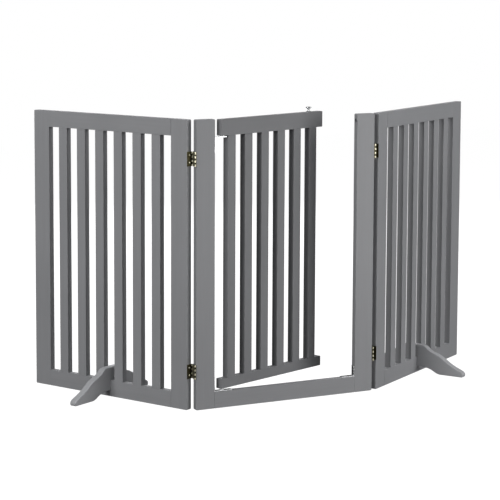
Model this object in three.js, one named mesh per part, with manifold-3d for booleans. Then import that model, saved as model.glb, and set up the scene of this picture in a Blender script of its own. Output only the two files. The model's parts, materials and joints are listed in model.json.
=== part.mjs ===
// Free-standing folding pet gate: a centre frame with a walk-through door, a side panel
// hung on each of its stiles, and a removable support foot saddled over each side
// panel's bottom rail.
//
// Millimetres, +Z up. The centre frame runs along X with its front facing -Y, and the
// origin is the middle of the underside of its bottom rail. At rest both side panels are
// folded back, so that the gate stands by itself, and the door is ajar.

import * as THREE from 'three';
import { mergeVertices } from 'three/addons/utils/BufferGeometryUtils.js';
import Module from 'manifold-3d';

// Overall sizes
const gateHeight = 800;
const panelWidth = 555;
const jointGap = 7;
const fitGap = 0.3;

// Frame stock shared by the three panels
const boardThickness = 18;
const stileWidth = 56;
const railHeight = 46;
const edgeRound = 0.6;
const cornerRound = 3.5;
const railTenon = { length: 20, height: 30, thickness: 6 };

// Slats, which are as thick as the frame or the door around them
const slatWidth = 30;
const slatCount = 6;
const slatTenon = { length: 8, width: 22, thickness: 6 };

// Door
const doorLength = 418;
const doorThickness = 19;
const doorSlatPitch = 67.3;
const doorTopRail = { low: 754, high: 799 };
const doorBottomRail = { low: 53.5, high: 81.5 };
const doorEndGap = 13.7;
const pivotFromEnd = 12;
const doorCornerRound = 2;

// How far each moving part stands from closed or straight when the gate is at rest
const leftFoldAngle = THREE.MathUtils.degToRad(61.8);
const rightFoldAngle = THREE.MathUtils.degToRad(32.3);
const doorAngle = THREE.MathUtils.degToRad(20.7);

// Double-action hinges between panels
const panelHinge = {
  height: 40,
  fromEnd: 107,
  pinDepth: 9.5,
  pinRadius: 1,
  boreRadius: 1.3,
  knuckleRadius: 1.9,
  knuckleCount: 7,
  leafThickness: 1,
  leafDepth: 20,
  webThickness: 1.4,
  webDepth: 12,
  neckDepth: 2.2,
};

// Steel angles: two carry the door's pivot pins, one stiffens the frame's other corner
const angleDepth = 12;
const angleThickness = 2;
const upperPivot = { rise: 42, run: 36 };
const lowerPivot = { rise: 40, run: 55 };
const cornerBrace = { rise: 30, run: 40 };
const pivotPin = { radius: 3, height: 12, boreRadius: 3.3, boreDepth: 13, collarRadius: 6 };

// Sliding bolt inside the door's top rail
const bolt = {
  z: 780.5,
  radius: 4,
  boreRadius: 4.4,
  start: 340,
  boreStart: 336,
  knobAt: 368,
  travel: 28,
  slotWidth: 6,
  socketRadius: 2.3,
  socketDepth: 2,
};
const strikeHole = { radius: 5.2, depth: 22 };
const knob = {
  stemRadius: 2,
  flangeRadius: 6.5,
  flangeHeight: 1.8,
  neckRadius: 2.8,
  headRadius: 7.8,
  height: 14,
};

// Support feet
const footThickness = 20;
const footRound = 2;
const footShift = { left: 5, right: 0 };

// Finishes
const greyPaint = { color: 0x85868a, roughness: 0.5, metalness: 0 };
const agedBrass = { color: 0x6e5f3f, roughness: 0.42, metalness: 0.9 };
const darkSteel = { color: 0x4d4f50, roughness: 0.45, metalness: 0.85 };
const chrome = { color: 0xc9cccf, roughness: 0.14, metalness: 1 };

// Derived places
const halfWidth = panelWidth / 2;
const halfBoard = boardThickness / 2;
const innerEdge = halfWidth - stileWidth;
const pinX = halfWidth + jointGap / 2;
const doorStart = -innerEdge + doorEndGap;
const doorPivotX = doorStart + pivotFromEnd;

const wasm = await Module();
wasm.setup();

function solidOf(geometry) {
  const bare = geometry.clone();
  bare.deleteAttribute('normal');
  bare.deleteAttribute('uv');
  const merged = mergeVertices(bare, 1e-4);
  return new wasm.Manifold(new wasm.Mesh({
    numProp: 3,
    vertProperties: new Float32Array(merged.attributes.position.array),
    triVerts: new Uint32Array(merged.index.array),
  }));
}

function geometryOf(solid) {
  const mesh = solid.getMesh();
  const geometry = new THREE.BufferGeometry();
  const corners = new Float32Array(mesh.vertProperties);
  geometry.setAttribute('position', new THREE.BufferAttribute(corners, 3));
  geometry.setIndex(new THREE.BufferAttribute(new Uint32Array(mesh.triVerts), 1));
  return geometry;
}

// A plain block between two corners.
function block(low, high) {
  const size = high.map((value, axis) => value - low[axis]);
  const middle = high.map((value, axis) => (value + low[axis]) / 2);
  const geometry = new THREE.BoxGeometry(...size);
  geometry.translate(...middle);
  return solidOf(geometry);
}

// A round bar standing on its lower end.
function post(x, y, lowZ, highZ, radius, sides = 16) {
  const geometry = new THREE.CylinderGeometry(radius, radius, highZ - lowZ, sides);
  geometry.rotateX(Math.PI / 2);
  geometry.translate(x, y, (lowZ + highZ) / 2);
  return solidOf(geometry);
}

// A round bar lying along X.
function rodAlongX(lowX, highX, y, z, radius, sides = 20) {
  const geometry = new THREE.CylinderGeometry(radius, radius, highX - lowX, sides);
  geometry.rotateZ(Math.PI / 2);
  geometry.translate((lowX + highX) / 2, y, z);
  return solidOf(geometry);
}

function roundedRectangle(width, height, radius) {
  const x = width / 2;
  const y = height / 2;
  const shape = new THREE.Shape();
  shape.moveTo(-x + radius, -y);
  shape.lineTo(x - radius, -y);
  shape.absarc(x - radius, -y + radius, radius, -Math.PI / 2, 0);
  shape.lineTo(x, y - radius);
  shape.absarc(x - radius, y - radius, radius, 0, Math.PI / 2);
  shape.lineTo(-x + radius, y);
  shape.absarc(-x + radius, y - radius, radius, Math.PI / 2, Math.PI);
  shape.lineTo(-x, -y + radius);
  shape.absarc(-x + radius, -y + radius, radius, Math.PI, Math.PI * 1.5);
  return shape;
}

// A shape swept through a thickness with its outside edges eased.
function easedSlab(shape, thickness, ease) {
  const geometry = new THREE.ExtrudeGeometry(shape, {
    depth: thickness - 2 * ease,
    bevelThickness: ease,
    bevelSize: ease,
    bevelOffset: -ease,
    bevelSegments: 2,
    curveSegments: 3,
  });
  geometry.translate(0, 0, ease - thickness / 2);
  return geometry;
}

// A board standing in the XZ plane with all its edges eased, as on a free end.
function easedBoard(width, height, thickness, middleX, lowZ, corner = cornerRound) {
  const shape = roundedRectangle(width, height, corner);
  const geometry = easedSlab(shape, thickness, edgeRound);
  geometry.rotateX(Math.PI / 2);
  geometry.translate(middleX, 0, lowZ + height / 2);
  return solidOf(geometry);
}

// A stick of rounded section with square ends, which butts against its neighbours.
function stick(sectionX, sectionY, length) {
  const shape = roundedRectangle(sectionX, sectionY, edgeRound);
  const options = { depth: length, bevelEnabled: false, curveSegments: 3 };
  const geometry = new THREE.ExtrudeGeometry(shape, options);
  geometry.translate(0, 0, -length / 2);
  return geometry;
}

function railAlongX(lowX, highX, lowZ, highZ, thickness) {
  const geometry = stick(highZ - lowZ, thickness, highX - lowX);
  geometry.rotateY(Math.PI / 2);
  geometry.translate((lowX + highX) / 2, 0, (lowZ + highZ) / 2);
  return solidOf(geometry);
}

// The half-size of a tenon plus, for its mortise, the fitting gap.
function tongueAlongX(lowX, highX, middleZ, room = 0) {
  const z = railTenon.height / 2 + room;
  const y = railTenon.thickness / 2 + room;
  return block([lowX, -y, middleZ - z], [highX, y, middleZ + z]);
}

function tongueAlongZ(middleX, lowZ, highZ, room = 0) {
  const x = slatTenon.width / 2 + room;
  const y = slatTenon.thickness / 2 + room;
  return block([middleX - x, -y, lowZ], [middleX + x, y, highZ]);
}

// A vertical slat with a short tenon at each end, let into the rails above and below.
function slat(middleX, lowZ, highZ, thickness) {
  const bottom = lowZ + fitGap;
  const top = highZ - fitGap;
  const geometry = stick(slatWidth, thickness, top - bottom);
  geometry.translate(middleX, 0, (top + bottom) / 2);
  const reach = slatTenon.length;
  return solidOf(geometry).add(tongueAlongZ(middleX, bottom - reach, top + reach));
}

function slatMortise(middleX, edgeZ) {
  const depth = slatTenon.length + fitGap;
  return tongueAlongZ(middleX, edgeZ - depth, edgeZ + depth, fitGap);
}

// A rail between two stiles, tenoned into both and mortised for the slats.
function framedRail(lowX, highX, lowZ, slatPlaces, slatEdgeZ) {
  const reach = railTenon.length;
  const middleZ = lowZ + railHeight / 2;
  const from = lowX + fitGap;
  const to = highX - fitGap;
  let rail = railAlongX(from, to, lowZ, lowZ + railHeight, boardThickness);
  rail = rail.add(tongueAlongX(from - reach, to + reach, middleZ));
  for (const x of slatPlaces) {
    rail = rail.subtract(slatMortise(x, slatEdgeZ));
  }
  return rail;
}

// A full-height stile with blind mortises in one edge, facing along side.
function stile(middleX, side, mortiseHeights) {
  const edge = middleX + side * stileWidth / 2;
  const deep = railTenon.length + fitGap;
  let board = easedBoard(stileWidth, gateHeight, boardThickness, middleX, 0);
  for (const z of mortiseHeights) {
    board = board.subtract(tongueAlongX(edge - deep, edge + deep, z, fitGap));
  }
  return board;
}

const gate = new THREE.Group();
gate.name = 'pet_gate';

function addNode(name, solid, finish, placement) {
  const geometry = geometryOf(solid);
  if (placement) {
    geometry.applyMatrix4(placement);
  }
  geometry.computeVertexNormals();
  const mesh = new THREE.Mesh(geometry, new THREE.MeshStandardMaterial(finish));
  mesh.name = name;
  gate.add(mesh);
}

function turnAbout(x, y, angle) {
  const back = new THREE.Matrix4().makeTranslation(x, y, 0);
  const turn = new THREE.Matrix4().makeRotationZ(angle);
  const out = new THREE.Matrix4().makeTranslation(-x, -y, 0);
  return back.multiply(turn).multiply(out);
}

// ---- Centre frame: two stiles and a bottom rail, open at the top ----

const lowRailMiddle = railHeight / 2;
const highRailMiddle = gateHeight - railHeight / 2;
const stileMiddle = halfWidth - stileWidth / 2;
const strike = rodAlongX(
  innerEdge - strikeHole.depth,
  innerEdge + strikeHole.depth,
  0,
  bolt.z,
  strikeHole.radius,
);
const latchStile = stile(stileMiddle, -1, [lowRailMiddle]).subtract(strike);
addNode('centre_left_stile', stile(-stileMiddle, 1, [lowRailMiddle]), greyPaint);
addNode('centre_right_stile', latchStile, greyPaint);
const threshold = framedRail(-innerEdge, innerEdge, 0, [], railHeight);
addNode('centre_bottom_rail', threshold, greyPaint);

// An angle lying in a corner of the opening: its run goes along X from the stile's inner
// edge, and its rise goes up the stile, or down it where drop is set.
function steelAngle(side, lowZ, { rise, run }, drop = false) {
  const y = angleDepth / 2;
  const edge = innerEdge - fitGap;
  const flat = block([edge - run, -y, lowZ], [edge, y, lowZ + angleThickness]);
  const riseLow = drop ? lowZ + angleThickness - rise : lowZ;
  const upright = block([edge - angleThickness, -y, riseLow], [edge, y, riseLow + rise]);
  const angle = flat.add(upright);
  return side > 0 ? angle : angle.mirror([1, 0, 0]);
}

// The pin that the door turns on, with a collar that its rail rests on.
function pintle(footZ, railZ) {
  const collar = post(doorPivotX, 0, footZ, railZ - fitGap, pivotPin.collarRadius);
  return collar.add(post(doorPivotX, 0, footZ, railZ + pivotPin.height, pivotPin.radius));
}

const thresholdTop = railHeight + fitGap;
const lowerAngle = steelAngle(-1, thresholdTop, lowerPivot);
const upperAngleZ = doorTopRail.low - fitGap - 2 * angleThickness;
const upperAngle = steelAngle(-1, upperAngleZ, upperPivot, true);
const pinFoot = angleThickness / 2;
const lowerPin = pintle(thresholdTop + pinFoot, doorBottomRail.low);
const upperPin = pintle(upperAngleZ + pinFoot, doorTopRail.low);
addNode('door_lower_pivot_bracket', lowerAngle.add(lowerPin), darkSteel);
addNode('door_upper_pivot_bracket', upperAngle.add(upperPin), darkSteel);
addNode('centre_right_brace', steelAngle(1, thresholdTop, cornerBrace), darkSteel);

// ---- Side panels ----

const slatGap = (panelWidth - 2 * stileWidth - slatCount * slatWidth) / (slatCount + 1);

function slatOffset(index) {
  return stileWidth + slatGap + slatWidth / 2 + index * (slatWidth + slatGap);
}

// Distances along a panel are taken from its hinged edge outward.
function sidePanel(label, side, placement) {
  const at = (distance) => side * (halfWidth + jointGap + distance);
  const places = Array.from({ length: slatCount }, (_, index) => at(slatOffset(index)));
  const mortises = [lowRailMiddle, highRailMiddle];
  const nearRail = at(stileWidth);
  const farRail = at(panelWidth - stileWidth);
  const lowX = Math.min(nearRail, farRail);
  const highX = Math.max(nearRail, farRail);
  const topLow = gateHeight - railHeight;
  const inner = stile(at(stileWidth / 2), side, mortises);
  const outer = stile(at(panelWidth - stileWidth / 2), -side, mortises);
  const topRail = framedRail(lowX, highX, topLow, places, topLow);
  const bottomRail = framedRail(lowX, highX, 0, places, railHeight);
  addNode(`${label}_inner_stile`, inner, greyPaint, placement);
  addNode(`${label}_outer_stile`, outer, greyPaint, placement);
  addNode(`${label}_top_rail`, topRail, greyPaint, placement);
  addNode(`${label}_bottom_rail`, bottomRail, greyPaint, placement);
  places.forEach((x, index) => {
    const bar = slat(x, railHeight, topLow, boardThickness);
    addNode(`${label}_slat_${index + 1}`, bar, greyPaint, placement);
  });
}

const leftPlacement = turnAbout(-pinX, panelHinge.pinDepth, -leftFoldAngle);
const rightPlacement = turnAbout(pinX, panelHinge.pinDepth, rightFoldAngle);
sidePanel('left_panel', -1, leftPlacement);
sidePanel('right_panel', 1, rightPlacement);

// ---- Support feet: a shouldered saddle with its toes flat on the floor ----

// Half of the outline from the crown to the arch: distance from the panel, and height.
const footCrown = [
  [0, 84], [26, 83.6], [37, 79.5], [47, 71.5], [60, 64.5], [75, 59.5],
  [87, 53.5], [99, 45.5], [113, 36], [130, 27], [145, 20.5],
];
const footToe = { tip: 161, shoulder: 15, base: 156 };
const footArch = [[84, 0], [74, 2.6], [63, 8], [52, 13], [38, 16.6], [24, 17.5]];

function footOutline() {
  const half = new THREE.Path();
  const point = ([x, y]) => new THREE.Vector2(x, y);
  half.moveTo(...footCrown[0]);
  half.splineThru(footCrown.slice(1).map(point));
  half.quadraticCurveTo(footToe.tip, footToe.shoulder, footToe.tip, footToe.shoulder / 2);
  half.quadraticCurveTo(footToe.tip, 0, footToe.base, 0);
  half.lineTo(...footArch[0]);
  half.splineThru(footArch.slice(1).map(point));
  const right = half.getPoints(3);
  const left = right.slice(1).reverse().map((p) => new THREE.Vector2(-p.x, p.y));
  return new THREE.Shape([...right, ...left]);
}

function foot(label, side, placement) {
  const geometry = easedSlab(footOutline(), footThickness, footRound);
  const across = new THREE.Vector3(0, 1, 0);
  const up = new THREE.Vector3(0, 0, 1);
  const along = new THREE.Vector3(1, 0, 0);
  geometry.applyMatrix4(new THREE.Matrix4().makeBasis(across, up, along));
  const x = side * (halfWidth + jointGap + halfWidth + footShift[label]);
  geometry.translate(x, 0, 0);
  const slotY = halfBoard + fitGap;
  const slotTop = railHeight + fitGap;
  const slot = block([x - footThickness, -slotY, -1], [x + footThickness, slotY, slotTop]);
  addNode(`${label}_foot`, solidOf(geometry).subtract(slot), greyPaint, placement);
}

foot('left', -1, leftPlacement);
foot('right', 1, rightPlacement);

// ---- Double-action hinges between the centre frame and the side panels ----

// Modelled at the right-hand joint with the panel straight, then mirrored for the left.
// The link turns on the front pin, and the side panel's leaf on the link's back pin.
function knuckleSpan(index, lowZ) {
  const step = panelHinge.height / panelHinge.knuckleCount;
  const room = fitGap / 2;
  return [lowZ + index * step + room, lowZ + (index + 1) * step - room];
}

const linkKnuckles = [0, 2, 4, 6];
const leafKnuckles = [1, 3, 5];

function hingeLink(lowZ) {
  const { height, pinDepth, pinRadius, knuckleRadius, webThickness, webDepth } = panelHinge;
  const web = webThickness / 2;
  let link = block(
    [pinX - web, -webDepth / 2, lowZ + fitGap / 2],
    [pinX + web, webDepth / 2, lowZ + height - fitGap / 2],
  );
  for (const y of [-pinDepth, pinDepth]) {
    link = link.add(post(pinX, y, lowZ + fitGap / 2, lowZ + height - fitGap / 2, pinRadius));
    for (const index of linkKnuckles) {
      const [from, to] = knuckleSpan(index, lowZ);
      link = link.add(post(pinX, y, from, to, knuckleRadius));
      const reach = [Math.min(0, y), Math.max(0, y)];
      link = link.add(block([pinX - web, reach[0], from], [pinX + web, reach[1], to]));
    }
  }
  return link;
}

// A leaf screwed to a board's edge. toward is the direction from the board to the pins.
function hingeLeaf(lowZ, boardEdge, toward, pinY) {
  const { height, leafThickness, leafDepth, boreRadius, knuckleRadius, neckDepth } = panelHinge;
  const plateNear = boardEdge + toward * fitGap;
  const plateFar = plateNear + toward * leafThickness;
  const neckEnd = pinX - toward * (boreRadius + knuckleRadius) / 2;
  const spread = (a, b) => [Math.min(a, b), Math.max(a, b)];
  const plate = spread(plateNear, plateFar);
  const neck = spread(plateNear, neckEnd);
  let leaf = block(
    [plate[0], -leafDepth / 2, lowZ],
    [plate[1], leafDepth / 2, lowZ + height],
  );
  for (const index of leafKnuckles) {
    const [from, to] = knuckleSpan(index, lowZ);
    const low = [neck[0], pinY - neckDepth / 2, from];
    const high = [neck[1], pinY + neckDepth / 2, to];
    leaf = leaf.add(block(low, high)).add(post(pinX, pinY, from, to, knuckleRadius));
  }
  return leaf.subtract(post(pinX, pinY, lowZ - 1, lowZ + height + 1, boreRadius));
}

function panelHinges(label, side, placement) {
  const handed = (solid) => (side > 0 ? solid : solid.mirror([1, 0, 0]));
  const places = {
    upper: gateHeight - panelHinge.fromEnd - panelHinge.height / 2,
    lower: panelHinge.fromEnd - panelHinge.height / 2,
  };
  for (const [level, lowZ] of Object.entries(places)) {
    const name = `${label}_${level}_hinge`;
    const frameLeaf = hingeLeaf(lowZ, halfWidth, 1, -panelHinge.pinDepth);
    const panelLeaf = hingeLeaf(lowZ, halfWidth + jointGap, -1, panelHinge.pinDepth);
    addNode(`${name}_frame_leaf`, handed(frameLeaf), agedBrass);
    addNode(`${name}_link`, handed(hingeLink(lowZ)), agedBrass);
    addNode(`${name}_panel_leaf`, handed(panelLeaf), agedBrass, placement);
  }
}

panelHinges('left', -1, leftPlacement);
panelHinges('right', 1, rightPlacement);

// ---- Door, modelled closed and then turned on its pivot pins ----

const doorPlacement = turnAbout(doorPivotX, 0, doorAngle);
const doorMiddle = doorStart + doorLength / 2;
const firstSlat = doorMiddle - doorSlatPitch * (slatCount - 1) / 2;
const doorSlatPlaces = Array.from(
  { length: slatCount },
  (_, index) => firstSlat + index * doorSlatPitch,
);

function doorRail(level, slatEdgeZ) {
  const height = level.high - level.low;
  let rail = easedBoard(
    doorLength,
    height,
    doorThickness,
    doorMiddle,
    level.low,
    doorCornerRound,
  );
  for (const x of doorSlatPlaces) {
    rail = rail.subtract(slatMortise(x, slatEdgeZ));
  }
  const boreTop = level.low + pivotPin.boreDepth;
  return rail.subtract(post(doorPivotX, 0, level.low - 1, boreTop, pivotPin.boreRadius));
}

const knobX = doorStart + bolt.knobAt;
const boltBore = rodAlongX(
  doorStart + bolt.boreStart,
  doorStart + doorLength + 1,
  0,
  bolt.z,
  bolt.boreRadius,
);
const slotEnd = bolt.slotWidth / 2;
const knobSlot = block(
  [knobX - slotEnd, -slotEnd, bolt.z],
  [knobX + bolt.travel + slotEnd, slotEnd, doorTopRail.high + 1],
);
const latchRail = doorRail(doorTopRail, doorTopRail.low).subtract(boltBore).subtract(knobSlot);
addNode('door_top_rail', latchRail, greyPaint, doorPlacement);
addNode('door_bottom_rail', doorRail(doorBottomRail, doorBottomRail.high), greyPaint,
  doorPlacement);
doorSlatPlaces.forEach((x, index) => {
  const bar = slat(x, doorBottomRail.high, doorTopRail.low, doorThickness);
  addNode(`door_slat_${index + 1}`, bar, greyPaint, doorPlacement);
});

// ---- Sliding bolt with its pull knob ----

const socketFloor = bolt.z - bolt.socketDepth;
const boltEnd = doorStart + doorLength - edgeRound;
const boltRod = rodAlongX(doorStart + bolt.start, boltEnd, 0, bolt.z, bolt.radius)
  .subtract(post(knobX, 0, socketFloor, bolt.z + 2 * bolt.radius, bolt.socketRadius));
addNode('latch_bolt', boltRod, chrome, doorPlacement);

// A solid turned about a vertical line through x, from [radius, height] pairs.
function turned(profile, x, sides = 20) {
  const corners = [];
  const triangles = [];
  const last = profile.length - 1;
  const ring = (level, step) => 1 + (level - 1) * sides + (step % sides);
  const crown = 1 + (last - 1) * sides;
  corners.push(x, 0, profile[0][1]);
  for (let level = 1; level < last; level += 1) {
    for (let step = 0; step < sides; step += 1) {
      const angle = (step / sides) * Math.PI * 2;
      const [radius, height] = profile[level];
      corners.push(x + radius * Math.cos(angle), radius * Math.sin(angle), height);
    }
  }
  corners.push(x, 0, profile[last][1]);
  for (let step = 0; step < sides; step += 1) {
    triangles.push(0, ring(1, step + 1), ring(1, step));
    triangles.push(crown, ring(last - 1, step), ring(last - 1, step + 1));
    for (let level = 1; level < last - 1; level += 1) {
      const a = ring(level, step);
      const b = ring(level, step + 1);
      const c = ring(level + 1, step + 1);
      const d = ring(level + 1, step);
      triangles.push(a, b, c, a, c, d);
    }
  }
  const geometry = new THREE.BufferGeometry();
  geometry.setAttribute('position', new THREE.Float32BufferAttribute(corners, 3));
  geometry.setIndex(triangles);
  return solidOf(geometry);
}

const railTop = doorTopRail.high + fitGap;
const knobProfile = [
  [0, socketFloor + fitGap],
  [knob.stemRadius, socketFloor + fitGap],
  [knob.stemRadius, railTop],
  [knob.flangeRadius, railTop],
  [knob.flangeRadius, railTop + knob.flangeHeight * 0.6],
  [knob.flangeRadius * 0.82, railTop + knob.flangeHeight],
  [knob.neckRadius * 1.25, railTop + knob.flangeHeight * 1.3],
  [knob.neckRadius, railTop + knob.height * 0.3],
  [knob.neckRadius, railTop + knob.height * 0.45],
  [knob.neckRadius * 1.35, railTop + knob.height * 0.58],
  [knob.headRadius * 0.72, railTop + knob.height * 0.72],
  [knob.headRadius, railTop + knob.height * 0.84],
  [knob.headRadius, railTop + knob.height * 0.92],
  [knob.headRadius * 0.86, railTop + knob.height * 0.98],
  [0, railTop + knob.height],
];
addNode('latch_knob', turned(knobProfile, knobX), chrome, doorPlacement);

export default gate;
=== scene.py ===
"""Looks for the free-standing folding pet gate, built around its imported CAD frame.

Metres, +Z up. The centre frame runs along X with its front facing -Y. Every board, hinge leaf, link,
bracket and bolt is the CAD node itself, with its facets smoothed and a procedural finish. The pull knob is
turned here at a finer resolution, and screw heads are added to the hinges and brackets.
"""

import json
import math

import bmesh
import bpy
from mathutils import Matrix, Vector


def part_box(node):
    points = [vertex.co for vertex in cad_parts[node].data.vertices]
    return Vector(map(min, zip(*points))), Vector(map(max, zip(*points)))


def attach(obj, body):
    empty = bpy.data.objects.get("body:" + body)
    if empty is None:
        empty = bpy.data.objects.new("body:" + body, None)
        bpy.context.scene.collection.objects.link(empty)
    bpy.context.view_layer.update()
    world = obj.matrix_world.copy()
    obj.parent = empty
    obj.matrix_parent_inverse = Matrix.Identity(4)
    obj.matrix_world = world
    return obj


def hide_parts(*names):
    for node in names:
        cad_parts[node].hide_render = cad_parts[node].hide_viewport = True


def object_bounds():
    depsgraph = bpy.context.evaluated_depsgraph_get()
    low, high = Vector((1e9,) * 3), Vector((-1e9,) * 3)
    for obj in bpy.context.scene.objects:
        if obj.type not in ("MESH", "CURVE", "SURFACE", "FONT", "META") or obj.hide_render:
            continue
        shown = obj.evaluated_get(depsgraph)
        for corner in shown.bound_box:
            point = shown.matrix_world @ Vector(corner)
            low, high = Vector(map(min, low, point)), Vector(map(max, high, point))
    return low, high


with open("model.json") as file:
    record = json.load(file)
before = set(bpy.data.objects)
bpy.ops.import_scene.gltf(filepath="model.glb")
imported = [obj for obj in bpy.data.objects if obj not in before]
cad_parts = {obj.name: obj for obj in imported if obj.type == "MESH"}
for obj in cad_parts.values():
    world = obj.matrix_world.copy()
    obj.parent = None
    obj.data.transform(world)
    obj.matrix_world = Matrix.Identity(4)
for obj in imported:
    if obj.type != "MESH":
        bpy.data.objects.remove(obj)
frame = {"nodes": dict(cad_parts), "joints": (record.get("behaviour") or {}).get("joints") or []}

CAD_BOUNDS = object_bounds()
NODES = frame["nodes"]
JOINTS = {joint["name"]: joint for joint in frame["joints"]}

# Camera, at the photograph's viewing angle
CAMERA_AT = (-2.2542, -4.3413, 1.2014)
CAMERA_YAW = math.radians(26.27)
CAMERA_PITCH = math.radians(6.11)
CAMERA_ROLL = math.radians(0.24)
LENS_MM = 127.6
SENSOR_MM = 36.0
SHIFT_Y = -0.18

# Angles of the side panels and the door, from how far each joint stands from straight or closed
LEFT_ANGLE = math.radians(-JOINTS["left_back_fold"]["range_deg"][1])
RIGHT_ANGLE = math.radians(-JOINTS["right_back_fold"]["range_deg"][0])
LATCH_AXIS = JOINTS["latch_slide"]["axis"]
DOOR_ANGLE = math.atan2(LATCH_AXIS[1], LATCH_AXIS[0])

# Space that the CAD model leaves between pieces that touch
FIT_GAP = 0.0003


# ---- Node helpers ----

class Shader:
    """A material with its nodes: add() makes one, and link() joins two sockets."""

    def __init__(self, name):
        self.material = bpy.data.materials.new(name)
        self.material.use_nodes = True
        self.tree = self.material.node_tree
        self.tree.nodes.clear()
        self.output = self.add("ShaderNodeOutputMaterial")
        self.surface = self.add("ShaderNodeBsdfPrincipled")
        self.link(self.surface.outputs["BSDF"], self.output.inputs["Surface"])

    def add(self, kind, **settings):
        node = self.tree.nodes.new(kind)
        for key, value in settings.items():
            setattr(node, key, value)
        return node

    def link(self, source, target):
        self.tree.links.new(source, target)

    def coordinates(self, turn=0.0, scale=(1, 1, 1)):
        """Object coordinates turned about Z by turn and then scaled."""
        place = self.add("ShaderNodeTexCoord")
        spin = self.add("ShaderNodeMapping", vector_type="POINT")
        spin.inputs["Rotation"].default_value = (0, 0, turn)
        stretch = self.add("ShaderNodeMapping", vector_type="POINT")
        stretch.inputs["Scale"].default_value = scale
        self.link(place.outputs["Object"], spin.inputs["Vector"])
        self.link(spin.outputs["Vector"], stretch.inputs["Vector"])
        return stretch.outputs["Vector"]

    def noise(self, vector, scale, detail=2.0, roughness=0.5):
        node = self.add("ShaderNodeTexNoise")
        node.inputs["Scale"].default_value = scale
        node.inputs["Detail"].default_value = detail
        node.inputs["Roughness"].default_value = roughness
        self.link(vector, node.inputs["Vector"])
        return node.outputs["Fac"]

    def spread(self, value, low, high, from_low=0.25, from_high=0.75):
        """value's middle range mapped to low..high."""
        node = self.add("ShaderNodeMapRange")
        node.inputs["From Min"].default_value = from_low
        node.inputs["From Max"].default_value = from_high
        node.inputs["To Min"].default_value = low
        node.inputs["To Max"].default_value = high
        self.link(value, node.inputs["Value"])
        return node.outputs["Result"]

    def maths(self, operation, first, second):
        node = self.add("ShaderNodeMath", operation=operation)
        for socket, value in zip(node.inputs, (first, second)):
            if isinstance(value, (int, float)):
                socket.default_value = value
            else:
                self.link(value, socket)
        return node.outputs["Value"]

    def blend(self, factor, first, second):
        """A colour between first and second."""
        node = self.add("ShaderNodeMix", data_type="RGBA")
        self.link(factor, node.inputs["Factor"])
        for name, value in (("A", first), ("B", second)):
            socket = next(s for s in node.inputs if s.name == name and s.type == "RGBA")
            if isinstance(value, tuple):
                socket.default_value = (*value, 1.0)
            else:
                self.link(value, socket)
        return next(s for s in node.outputs if s.type == "RGBA")

    def edge_mask(self, radius):
        """1 along edges that stand out or are eased, and 0 on open faces."""
        soft = self.add("ShaderNodeBevel", samples=6)
        soft.inputs["Radius"].default_value = radius
        true = self.add("ShaderNodeNewGeometry")
        dot = self.add("ShaderNodeVectorMath", operation="DOT_PRODUCT")
        self.link(soft.outputs["Normal"], dot.inputs[0])
        self.link(true.outputs["True Normal"], dot.inputs[1])
        return self.spread(dot.outputs["Value"], 1.0, 0.0, 0.86, 0.995)

    def openness(self, distance):
        """1 on surfaces that stand free, down to 0 in recesses about as narrow as distance."""
        node = self.add("ShaderNodeAmbientOcclusion", samples=8)
        node.inputs["Distance"].default_value = distance
        return node.outputs["AO"]

    def bump(self, layers):
        """Bump layers, each (height, distance in metres), one on the other."""
        normal = None
        for height, distance in layers:
            node = self.add("ShaderNodeBump")
            node.inputs["Strength"].default_value = 1.0
            node.inputs["Distance"].default_value = distance
            self.link(height, node.inputs["Height"])
            if normal is not None:
                self.link(normal, node.inputs["Normal"])
            normal = node.outputs["Normal"]
        self.link(normal, self.surface.inputs["Normal"])


# ---- Materials ----

GREY = (0.218, 0.2205, 0.229)
DARKEST = 0.93
LIGHTEST = 1.07
RUBBED = 1.22
GRAIN_STRETCH = 0.045
EDGE_EASE = 0.0022


def painted_wood(name, turn=None, tone=1.0):
    """Satin grey paint on smooth wood, with the grain running up, or along X turned by turn."""
    shader = Shader(name)
    if turn is None:
        grain = shader.coordinates(0.0, (1, 1, GRAIN_STRETCH))
    else:
        grain = shader.coordinates(-turn, (GRAIN_STRETCH, 1, 1))
    even = shader.coordinates()
    drift = shader.noise(even, scale=3.2)
    streaks = shader.noise(grain, scale=190.0, detail=5.0, roughness=0.62)
    growth = shader.noise(grain, scale=46.0, detail=3.0, roughness=0.55)
    stipple = shader.noise(even, scale=1500.0)
    worn = shader.maths(
        "MULTIPLY",
        shader.edge_mask(EDGE_EASE),
        shader.spread(shader.noise(even, scale=55.0, detail=3.0), 0.25, 1.0),
    )

    base = tuple(channel * tone for channel in GREY)
    dark = tuple(channel * DARKEST for channel in base)
    light = tuple(channel * LIGHTEST for channel in base)
    rubbed = tuple(channel * RUBBED for channel in base)
    tint = shader.maths("ADD", shader.spread(drift, 0.2, 0.8), shader.spread(growth, -0.16, 0.16))
    tint = shader.maths("ADD", tint, shader.spread(streaks, -0.22, 0.22))
    colour = shader.blend(tint, dark, light)
    colour = shader.blend(shader.maths("MULTIPLY", worn, 0.45), colour, rubbed)
    shader.link(colour, shader.surface.inputs["Base Color"])

    gloss = shader.maths("ADD", shader.spread(streaks, 0.44, 0.54), shader.spread(drift, -0.03, 0.03))
    shader.link(shader.maths("SUBTRACT", gloss, shader.maths("MULTIPLY", worn, 0.08)),
                shader.surface.inputs["Roughness"])
    shader.surface.inputs["Specular IOR Level"].default_value = 0.36
    shader.bump([(growth, 0.00010), (streaks, 0.00009), (stipple, 0.000022)])
    return shader.material


def bare_metal(shader, colour, roughness, layers):
    """Joins a metal's colour, roughness and bump layers to its shader."""
    shader.link(colour, shader.surface.inputs["Base Color"])
    shader.surface.inputs["Metallic"].default_value = 1.0
    shader.link(roughness, shader.surface.inputs["Roughness"])
    shader.bump(layers)
    return shader.material


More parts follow.
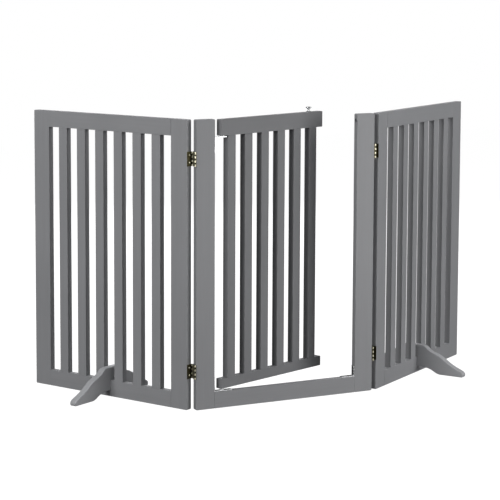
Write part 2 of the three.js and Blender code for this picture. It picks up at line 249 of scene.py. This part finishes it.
def brass_with_patina_and_painted_shade(name, dark, open_face, edge):
    """Brass with painted shade, dark in its recesses and lighter on its open faces; with patina, and edges
    rubbed brighter.
    """
    shader = Shader(name)
    even = shader.coordinates()
    patina = shader.noise(even, scale=420.0, detail=4.0, roughness=0.6)
    scratches = shader.noise(shader.coordinates(scale=(1, 1, 0.08)), scale=2600.0)
    rubbed = shader.edge_mask(radius=0.0007)
    # Painted shade: an ambient-occlusion mask darkens the brass in recesses and between parts, and
    # lightens it where it stands open.
    painted_shade_openness = shader.spread(shader.openness(distance=0.005), 0.0, 1.0, from_low=0.30, from_high=0.78)
    tone = shader.maths("ADD", painted_shade_openness, shader.spread(patina, -0.22, 0.22))
    aged = shader.blend(tone, dark, open_face)
    colour = shader.blend(shader.maths("MULTIPLY", rubbed, 0.5), aged, edge)
    rough = shader.maths("ADD", shader.spread(patina, 0.24, 0.40), shader.spread(scratches, 0.0, 0.08))
    rough = shader.maths("SUBTRACT", rough, shader.maths("MULTIPLY", rubbed, 0.08))
    return bare_metal(shader, colour, rough, [(patina, 0.00004), (scratches, 0.00001)])


RUBBED_PLATING = (0.66, 0.67, 0.68)


def plated_steel(name, dark, bright):
    """Clouded plating with fine brushed lines, rubbed to RUBBED_PLATING along its edges."""
    shader = Shader(name)
    even = shader.coordinates()
    cloud = shader.noise(even, scale=260.0, detail=4.0, roughness=0.6)
    brushed = shader.noise(shader.coordinates(scale=(0.06, 1, 1)), scale=2400.0)
    rubbed = shader.edge_mask(radius=0.0006)
    colour = shader.blend(shader.spread(cloud, 0.0, 1.0), dark, bright)
    colour = shader.blend(shader.maths("MULTIPLY", rubbed, 0.6), colour, RUBBED_PLATING)
    rough = shader.maths("ADD", shader.spread(cloud, 0.24, 0.38), shader.spread(brushed, 0.0, 0.08))
    return bare_metal(shader, colour, rough, [(cloud, 0.00002), (brushed, 0.00001)])


SMUDGED_CHROME = (0.60, 0.61, 0.62)
CLEAN_CHROME = (0.80, 0.805, 0.81)


def polished_chrome():
    """Bright plating with faint smudges and hairlines."""
    shader = Shader("polished_chrome")
    even = shader.coordinates()
    smudge = shader.noise(even, scale=190.0, detail=3.0)
    hairlines = shader.noise(shader.coordinates(scale=(1, 1, 14.0)), scale=900.0)
    colour = shader.blend(shader.spread(smudge, 0.0, 1.0), SMUDGED_CHROME, CLEAN_CHROME)
    rough = shader.maths("ADD", shader.spread(smudge, 0.07, 0.17), shader.spread(hairlines, 0.0, 0.04))
    return bare_metal(shader, colour, rough, [(hairlines, 0.000006)])


# The gate is taken to be one grey throughout. These tones make some of its parts darker or lighter, in
# place of differences in light that the studio lights don't make.
DOOR_TONE = 0.72
CENTRE_TONE = 0.87
FOOT_TONE = 1.36
PAINT = {
    "upright": painted_wood("grey_paint_upright"),
    "centre_upright": painted_wood("grey_paint_centre_upright", None, CENTRE_TONE),
    "centre": painted_wood("grey_paint_centre", 0.0, CENTRE_TONE),
    "left": painted_wood("grey_paint_left", LEFT_ANGLE),
    "right": painted_wood("grey_paint_right", RIGHT_ANGLE),
    "left_foot": painted_wood("grey_paint_left_foot", LEFT_ANGLE + math.pi / 2, FOOT_TONE),
    "right_foot": painted_wood("grey_paint_right_foot", RIGHT_ANGLE + math.pi / 2, FOOT_TONE),
    "door_upright": painted_wood("grey_paint_door_upright", None, DOOR_TONE),
    "door": painted_wood("grey_paint_door", DOOR_ANGLE, DOOR_TONE),
}
# One brass, painted as two copies: the links are a lit copy with painted highlights on their knuckles, and
# the leaves a shaded copy, so the barrel shows bright and dark knuckles in turn.
BRASS_PAINTED_SHADE_LEAF = brass_with_patina_and_painted_shade(
    "brass_leaf_painted_shade",
    dark=(0.006, 0.005, 0.003),
    open_face=(0.042, 0.038, 0.021),
    edge=(0.40, 0.37, 0.24),
)
BRASS_PAINTED_HIGHLIGHT_LINK = brass_with_patina_and_painted_shade(
    "brass_link_painted_highlight",
    dark=(0.03, 0.027, 0.015),
    open_face=(0.86, 0.82, 0.62),
    edge=(0.97, 0.94, 0.80),
)
ZINC = plated_steel("bright_zinc", (0.62, 0.63, 0.64), (0.86, 0.865, 0.87))
DARK_STEEL = plated_steel("dark_screw_steel", (0.045, 0.045, 0.048), (0.12, 0.12, 0.125))
BRASS_SCREW = plated_steel("bright_screw_brass", (0.80, 0.77, 0.62), (0.97, 0.95, 0.84))
CHROME = polished_chrome()


def finish_of(node):
    """The material that suits a CAD node, by its name."""
    if "hinge" in node:
        # Links take the lit brass with painted highlights, leaves the shaded brass.
        return BRASS_PAINTED_HIGHLIGHT_LINK if "link" in node else BRASS_PAINTED_SHADE_LEAF
    if "bracket" in node or "brace" in node:
        return ZINC
    if node.startswith("latch"):
        return CHROME
    if node.endswith("foot"):
        return PAINT[node]
    upright = "slat" in node or "stile" in node
    group = node.split("_")[0]
    if group in ("door", "centre"):
        return PAINT[f"{group}_upright" if upright else group]
    return PAINT["upright"] if upright else PAINT[group]


# ---- CAD nodes: facets smoothed by modifiers, and finishes ----

SMOOTH_BELOW = math.radians(50)
WELD = 0.00002


def smoothing_nodes():
    """A node group that welds a mesh and shades it smooth, but for edges sharper than SMOOTH_BELOW."""
    group = bpy.data.node_groups.new("smooth_facets", "GeometryNodeTree")
    group.interface.new_socket("Geometry", in_out="INPUT", socket_type="NodeSocketGeometry")
    group.interface.new_socket("Geometry", in_out="OUTPUT", socket_type="NodeSocketGeometry")
    make = group.nodes.new
    source = make("NodeGroupInput")
    result = make("NodeGroupOutput")
    weld = make("GeometryNodeMergeByDistance")
    weld.inputs["Distance"].default_value = WELD
    angle = make("GeometryNodeInputMeshEdgeAngle")
    sharp = make("FunctionNodeCompare")
    sharp.data_type = "FLOAT"
    sharp.operation = "GREATER_THAN"
    sharp.inputs["B"].default_value = SMOOTH_BELOW
    normals = make("GeometryNodeSetMeshNormal")
    normals.mode = "SHARPNESS"
    join = group.links.new
    join(source.outputs["Geometry"], weld.inputs["Geometry"])
    join(angle.outputs["Unsigned Angle"], sharp.inputs["A"])
    join(weld.outputs["Geometry"], normals.inputs["Mesh"])
    join(sharp.outputs["Result"], normals.inputs["Edge Sharpness"])
    join(normals.outputs["Mesh"], result.inputs["Geometry"])
    return group


SMOOTHING = smoothing_nodes()


def smooth_cad(piece):
    """Hides a CAD piece's facets with modifiers, and leaves its mesh as it is."""
    facets = piece.modifiers.new("smooth_facets", "NODES")
    facets.node_group = SMOOTHING
    weighted = piece.modifiers.new("weighted_normals", "WEIGHTED_NORMAL")
    weighted.mode = "FACE_AREA_WITH_ANGLE"
    weighted.keep_sharp = True


for name, piece in NODES.items():
    smooth_cad(piece)
    piece.data.materials[0] = finish_of(name)


# ---- Small metalwork ----

def smooth_mesh(name, solid):
    """A bmesh made into a smooth-shaded mesh, and freed."""
    for face in solid.faces:
        face.smooth = True
    mesh = bpy.data.meshes.new(name)
    solid.to_mesh(mesh)
    solid.free()
    return mesh


def circle(radius, height, sides):
    """The corners of a level ring about Z."""
    angles = [2 * math.pi * step / sides for step in range(sides)]
    return [Vector((radius * math.cos(angle), radius * math.sin(angle), height)) for angle in angles]


def place_mesh(name, mesh, material, body):
    """A mesh as a piece of the gate: it rides on a body and fills a material slot."""
    piece = bpy.data.objects.new(name, mesh)
    bpy.context.scene.collection.objects.link(piece)
    mesh.materials.append(material)
    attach(piece, body)
    return piece


def turned_mesh(name, profile, sides):
    """A closed solid turned about Z through the (radius, height) points, from axis to axis."""
    solid = bmesh.new()
    rings = []
    for radius, height in profile[1:-1]:
        rings.append([solid.verts.new(spot) for spot in circle(radius, height, sides)])
    low = solid.verts.new((0, 0, profile[0][1]))
    high = solid.verts.new((0, 0, profile[-1][1]))
    for step in range(sides):
        after = (step + 1) % sides
        solid.faces.new((low, rings[0][after], rings[0][step]))
        solid.faces.new((high, rings[-1][step], rings[-1][after]))
        for below, above in zip(rings, rings[1:]):
            solid.faces.new((below[step], below[after], above[after], above[step]))
    return smooth_mesh(name, solid)


KNOB_SIDES = 64
CURVE_STEPS = 5


def rounded_profile(points):
    """A smooth curve through (radius, height) points, where a point given twice stays a sharp corner."""
    out = []
    for index in range(len(points) - 1):
        before = Vector(points[max(index - 1, 0)])
        start = Vector(points[index])
        end = Vector(points[index + 1])
        after = Vector(points[min(index + 2, len(points) - 1)])
        if start == end:
            continue
        for step in range(CURVE_STEPS):
            t = step / CURVE_STEPS
            spot = 0.5 * (
                2 * start + (end - before) * t
                + (2 * before - 5 * start + 4 * end - after) * t ** 2
                + (3 * start - before - 3 * end + after) * t ** 3
            )
            out.append((max(spot.x, 0.0), spot.y))
    out.append(tuple(points[-1]))
    return out


def pull_knob():
    """The trumpet-shaped pull: a flange on the rail, a waisted neck and a dished head."""
    low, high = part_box("latch_knob")
    rail_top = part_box("door_top_rail")[1].z + FIT_GAP
    middle = (low + high) / 2
    head = (high.x - low.x) / 2
    rise = high.z - rail_top
    flange, neck, stem = head * 0.83, head * 0.36, head * 0.255
    bore = [(0, low.z), (stem, low.z), (stem, low.z), (stem, rail_top), (stem, rail_top)]
    foot = [(flange * 0.97, rail_top), (flange * 0.97, rail_top), (flange, rail_top + rise * 0.03),
            (flange, rail_top + rise * 0.07), (flange * 0.9, rail_top + rise * 0.12)]
    waist = [(neck * 1.35, rail_top + rise * 0.17), (neck, rail_top + rise * 0.30),
             (neck, rail_top + rise * 0.45), (neck * 1.3, rail_top + rise * 0.58)]
    cap = [(head * 0.72, rail_top + rise * 0.72), (head * 0.97, rail_top + rise * 0.83),
           (head, rail_top + rise * 0.89), (head * 0.95, rail_top + rise * 0.95),
           (head * 0.72, rail_top + rise * 0.995), (head * 0.35, rail_top + rise * 0.985),
           (0, rail_top + rise * 0.975)]
    profile = rounded_profile(bore) + rounded_profile(foot + waist + cap)
    clean = [profile[0]]
    for spot in profile[1:]:
        if math.dist(spot, clean[-1]) > WELD:
            clean.append(spot)
    mesh = turned_mesh("pull_knob", clean, KNOB_SIDES)
    mesh.transform(Matrix.Translation((middle.x, middle.y, 0)))
    piece = place_mesh("pull_knob", mesh, CHROME, "latch")
    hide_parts("latch_knob")
    edges = piece.modifiers.new("crisp_edges", "WEIGHTED_NORMAL")
    edges.keep_sharp = True


SCREW_SIDES = 24


def screw_head(solid, radius, place):
    """Adds a domed, cross-recessed screw head to a bmesh. Its top faces +Z before place moves it."""
    rise, sink = radius * 0.26, radius * 0.5
    arm, half = radius * 0.56, radius * 0.13

    def ring(distance, height):
        return [solid.verts.new(place @ spot) for spot in circle(distance, height, SCREW_SIDES)]

    def cross(shrink, height):
        corners = []
        for quarter in range(4):
            turn = Matrix.Rotation(quarter * math.pi / 2, 4, "Z")
            for x, y in ((arm, -half), (arm, half), (half, half)):
                spot = turn @ Vector((x * shrink, y * shrink, 0))
                corners.append(solid.verts.new(place @ Vector((spot.x, spot.y, height))))
        return corners

    def bridge(first, second):
        count = len(first)
        for step in range(count):
            after = (step + 1) % count
            solid.faces.new((first[step], first[after], second[after], second[step]))

    seat = ring(radius * 0.7, -sink)
    rim = ring(radius, -rise * 0.15)
    shoulder = ring(radius * 0.96, rise * 0.35)
    crown = ring(radius * 0.78, rise * 0.85)
    mouth = cross(1.0, rise)
    floor = cross(0.72, rise - radius * 0.42)
    solid.faces.new(list(reversed(seat)))
    bridge(seat, rim)
    bridge(rim, shoulder)
    bridge(shoulder, crown)
    bridge(mouth, floor)
    solid.faces.new(floor)
    for quarter in range(4):
        first = quarter * SCREW_SIDES // 4
        corners = [mouth[(3 * quarter + step) % len(mouth)] for step in (3, 2, 1)]
        arc = [crown[(first + step) % SCREW_SIDES] for step in range(1, SCREW_SIDES // 4)]
        solid.faces.new(arc + corners)
        tip = [mouth[(3 * quarter + step) % len(mouth)] for step in (1, 0)]
        near = [crown[(first + step) % SCREW_SIDES] for step in (-1, 0, 1)]
        solid.faces.new(near + tip)


SCREW_CREASE = math.radians(38)


def screws(name, places, radius, body, material):
    """One piece of cross-head screws: places holds (point, outward direction, twist)."""
    solid = bmesh.new()
    for point, outward, twist in places:
        turn = Vector(outward).to_track_quat("Z", "Y").to_matrix().to_4x4()
        screw_head(solid, radius, Matrix.Translation(point) @ turn @ Matrix.Rotation(twist, 4, "Z"))
    bmesh.ops.recalc_face_normals(solid, faces=solid.faces)
    mesh = smooth_mesh(name, solid)
    mesh.set_sharp_from_angle(angle=SCREW_CREASE)
    place_mesh(name, mesh, material, body)


# How far the cross of each screw is turned
TWISTS = (0.35, 1.1, 0.72, 0.1)
PANEL_TWIST = 0.5
HINGE_SCREW = 0.0026
HINGE_SCREW_RISE = 0.0105
LEAF_THICKNESS = 0.001
LEAF_FACE = LEAF_THICKNESS + FIT_GAP


def hinge_screws(side, sign, angle):
    """Screw heads on both leaves of one side's hinges, in the middle of each board's edge."""
    pin = Vector(JOINTS[f"{side}_back_fold"]["pos_m"])
    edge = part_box("centre_right_stile")[1].x
    gap = 2 * (abs(pin.x) - edge)
    turn = Matrix.Rotation(angle, 3, "Z")
    for level in ("upper", "lower"):
        low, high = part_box(f"{side}_{level}_hinge_frame_leaf")
        middle = (low.z + high.z) / 2
        heights = (middle - HINGE_SCREW_RISE, middle + HINGE_SCREW_RISE)
        frame_places = []
        panel_places = []
        for height, twist in zip(heights, TWISTS):
            frame_places.append(((sign * (edge + LEAF_FACE), 0, height), (sign, 0, 0), twist))
            axis = Vector((pin.x, pin.y, height))
            unfolded = Vector((sign * (edge + gap - LEAF_FACE), 0, height))
            outward = turn @ Vector((-sign, 0, 0))
            panel_places.append((turn @ (unfolded - axis) + axis, outward, twist + PANEL_TWIST))
        for leaf, body, places in (
            ("frame", "centre_frame", frame_places),
            ("panel", f"{side}_panel", panel_places),
        ):
            name = f"{side}_{level}_hinge_{leaf}_screws"
            screws(name, places, HINGE_SCREW, body, BRASS_SCREW)


BRACKET_SCREW = 0.0031
BRACKET_THICKNESS = 0.002
BRACKET_FACE = BRACKET_THICKNESS + FIT_GAP


def bracket_screws(node, side, heights, runs=()):
    """Screw heads on a steel angle: at heights up its upright leg, and at runs along its flat one.

    side is -1 for an angle on the left stile and 1 for one on the right.
    """
    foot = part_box(node)[0].z
    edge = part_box("centre_right_stile")[0].x if side > 0 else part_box("centre_left_stile")[1].x
    places = []
    for height, twist in zip(heights, TWISTS):
        places.append(((edge - side * BRACKET_FACE, 0, foot + height), (-side, 0, 0), twist))
    for run, twist in zip(runs, TWISTS[2:]):
        places.append(((edge - side * run, 0, foot + BRACKET_THICKNESS), (0, 0, 1), twist))
    screws(f"{node}_screws", places, BRACKET_SCREW, "centre_frame", DARK_STEEL)


pull_knob()
hinge_screws("left", -1, LEFT_ANGLE)
hinge_screws("right", 1, RIGHT_ANGLE)
bracket_screws("centre_right_brace", 1, heights=(0.0126, 0.0240), runs=(0.0168, 0.0320))
bracket_screws("door_lower_pivot_bracket", -1, heights=(0.0200, 0.0330), runs=(0.0470,))
bracket_screws("door_upper_pivot_bracket", -1, heights=(0.0080, 0.0250))


# ---- Stage: pale floor, soft studio light and the camera ----

# The surround is brightest in one direction and dim in the opposite one. SURROUND_FADE holds the cosines
# of the angle from the brightest direction between which it fades.
SURROUND_BRIGHTEST = (-0.20, -0.95, -0.12)
SURROUND_FRONT = 0.34
SURROUND_BACK = 0.012
SURROUND_FADE = (0.1, 0.95)

FLOOR_SIZE = 14.0
FLOOR_DROP = 0.0006
FLOOR_GREY = (0.12, 0.12, 0.12, 1)
FLOOR_GLOW = 0.985
WHITE = (1, 1, 1, 1)

GATE_MIDDLE = (0, 0.15, 0.4)
LOW_MIDDLE = (0, 0.1, 0.2)


def pale_floor():
    """A plain white floor like a light table, which throws no light up on the gate."""
    mesh = bpy.data.meshes.new("floor")
    half = FLOOR_SIZE / 2
    corners = [(-half, -half, 0), (half, -half, 0), (half, half, 0), (-half, half, 0)]
    mesh.from_pydata(corners, [], [(0, 1, 2, 3)])
    floor = bpy.data.objects.new("floor", mesh)
    floor.location.z = CAD_BOUNDS[0].z - FLOOR_DROP
    bpy.context.scene.collection.objects.link(floor)
    shader = Shader("pale_floor")
    shader.surface.inputs["Base Color"].default_value = FLOOR_GREY
    shader.surface.inputs["Roughness"].default_value = 0.85
    shader.surface.inputs["Specular IOR Level"].default_value = 0.2
    shader.surface.inputs["Emission Color"].default_value = WHITE
    shader.surface.inputs["Emission Strength"].default_value = FLOOR_GLOW
    mesh.materials.append(shader.material)
    floor.visible_diffuse = False
    floor.visible_glossy = False


def soft_light(name, place, size, watts, aim=GATE_MIDDLE, mirrored=True):
    """A rectangular light that the camera doesn't see. One that isn't mirrored leaves no glare."""
    data = bpy.data.lights.new(name, "AREA")
    data.shape = "RECTANGLE"
    data.size, data.size_y = size
    data.energy = watts
    light = bpy.data.objects.new(name, data)
    light.visible_camera = False
    light.visible_glossy = mirrored
    light.location = place
    light.rotation_euler = (Vector(aim) - Vector(place)).to_track_quat("-Z", "Y").to_euler()
    bpy.context.scene.collection.objects.link(light)


def studio_world():
    """A soft surround that is bright in front, dim behind, and plain white as a backdrop."""
    world = bpy.data.worlds.new("studio")
    world.use_nodes = True
    tree = world.node_tree
    tree.nodes.clear()
    make, join = tree.nodes.new, tree.links.new
    place = make("ShaderNodeTexCoord")
    toward = make("ShaderNodeVectorMath")
    toward.operation = "DOT_PRODUCT"
    toward.inputs[1].default_value = Vector(SURROUND_BRIGHTEST).normalized()
    join(place.outputs["Generated"], toward.inputs[0])
    fade = make("ShaderNodeMapRange")
    fade.interpolation_type = "SMOOTHSTEP"
    fade.inputs["From Min"].default_value = SURROUND_FADE[0]
    fade.inputs["From Max"].default_value = SURROUND_FADE[1]
    fade.inputs["To Min"].default_value = SURROUND_BACK
    fade.inputs["To Max"].default_value = SURROUND_FRONT
    join(toward.outputs["Value"], fade.inputs["Value"])
    lit = make("ShaderNodeBackground")
    lit.inputs["Color"].default_value = WHITE
    join(fade.outputs["Result"], lit.inputs["Strength"])
    backdrop = make("ShaderNodeBackground")
    backdrop.inputs["Color"].default_value = WHITE
    path = make("ShaderNodeLightPath")
    mix = make("ShaderNodeMixShader")
    join(path.outputs["Is Camera Ray"], mix.inputs["Fac"])
    join(lit.outputs["Background"], mix.inputs[1])
    join(backdrop.outputs["Background"], mix.inputs[2])
    output = make("ShaderNodeOutputWorld")
    join(mix.outputs["Shader"], output.inputs["Surface"])
    bpy.context.scene.world = world


def photo_camera():
    """The camera, placed by its yaw from +Y towards +X, its pitch down and its roll."""
    data = bpy.data.cameras.new("camera")
    data.sensor_fit = "HORIZONTAL"
    data.sensor_width = SENSOR_MM
    data.lens = LENS_MM
    data.shift_y = SHIFT_Y
    data.clip_start, data.clip_end = 0.05, 100
    ahead = Vector((math.sin(CAMERA_YAW) * math.cos(CAMERA_PITCH),
                    math.cos(CAMERA_YAW) * math.cos(CAMERA_PITCH), -math.sin(CAMERA_PITCH)))
    level = Vector((math.cos(CAMERA_YAW), -math.sin(CAMERA_YAW), 0))
    up = level.cross(ahead)
    right = level * math.cos(CAMERA_ROLL) + up * math.sin(CAMERA_ROLL)
    top = up * math.cos(CAMERA_ROLL) - level * math.sin(CAMERA_ROLL)
    turn = Matrix((right, top, -ahead)).transposed().to_4x4()
    camera = bpy.data.objects.new("camera", data)
    camera.matrix_world = Matrix.Translation(CAMERA_AT) @ turn
    bpy.context.scene.collection.objects.link(camera)
    bpy.context.scene.camera = camera


pale_floor()
studio_world()
soft_light("left_light", (-3.4, -1.2, 1.6), size=(2.0, 2.0), watts=104)
soft_light("right_light", (2.3, -2.2, 1.7), size=(2.0, 1.8), watts=60)
soft_light("low_light", (1.6, -2.2, 0.3), size=(1.8, 0.6), watts=26, aim=LOW_MIDDLE)
soft_light("top_light", (0, 0.45, 3.0), size=(2.0, 1.2), watts=55, mirrored=False)
soft_light("rear_light", (1.3, 3.6, 1.6), size=(2.4, 2.0), watts=130, mirrored=False)
photo_camera()
bpy.context.scene.view_settings.view_transform = "Standard"
